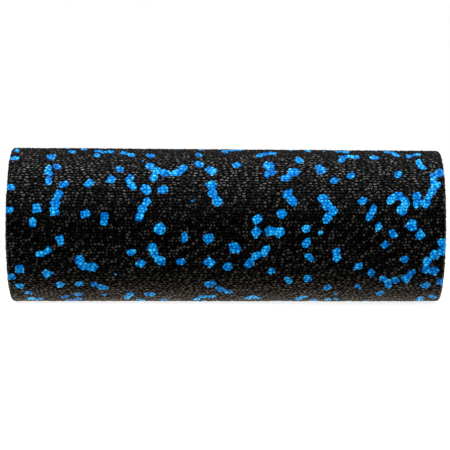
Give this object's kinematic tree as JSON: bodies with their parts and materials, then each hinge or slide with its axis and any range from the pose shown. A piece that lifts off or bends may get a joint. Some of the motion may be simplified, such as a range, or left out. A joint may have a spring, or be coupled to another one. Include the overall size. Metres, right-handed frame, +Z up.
{
  "type": "foam roller",
  "caption": "Short solid foam massage roller, black moulded foam with blue beads scattered through its skin, slightly tapered by mould draft, flat ends.",
  "frame": {"origin": "middle of the bottom of the bounding box, with the roller lying on its side", "axes": "+X along the roller's axis towards its small end, +Z up, -Y the front side"},
  "size_m": [0.15, 0.054, 0.0541],
  "materials": {
    "black_foam": "pebbled moulded skin of black expanded polypropylene beads",
    "blue_foam": "pebbled moulded skin of azure blue expanded polypropylene beads"
  },
  "bodies": {
    "root": {"foam_body": "black_foam", "blue_beads_front": "blue_foam", "blue_beads_front_top": "blue_foam", "blue_beads_top": "blue_foam", "blue_beads_back_top": "blue_foam", "blue_beads_back": "blue_foam", "blue_beads_back_bottom": "blue_foam", "blue_beads_bottom": "blue_foam", "blue_beads_front_bottom": "blue_foam", "blue_beads_left_end": "blue_foam", "blue_beads_right_end": "blue_foam"}
  },
  "joints": []
}
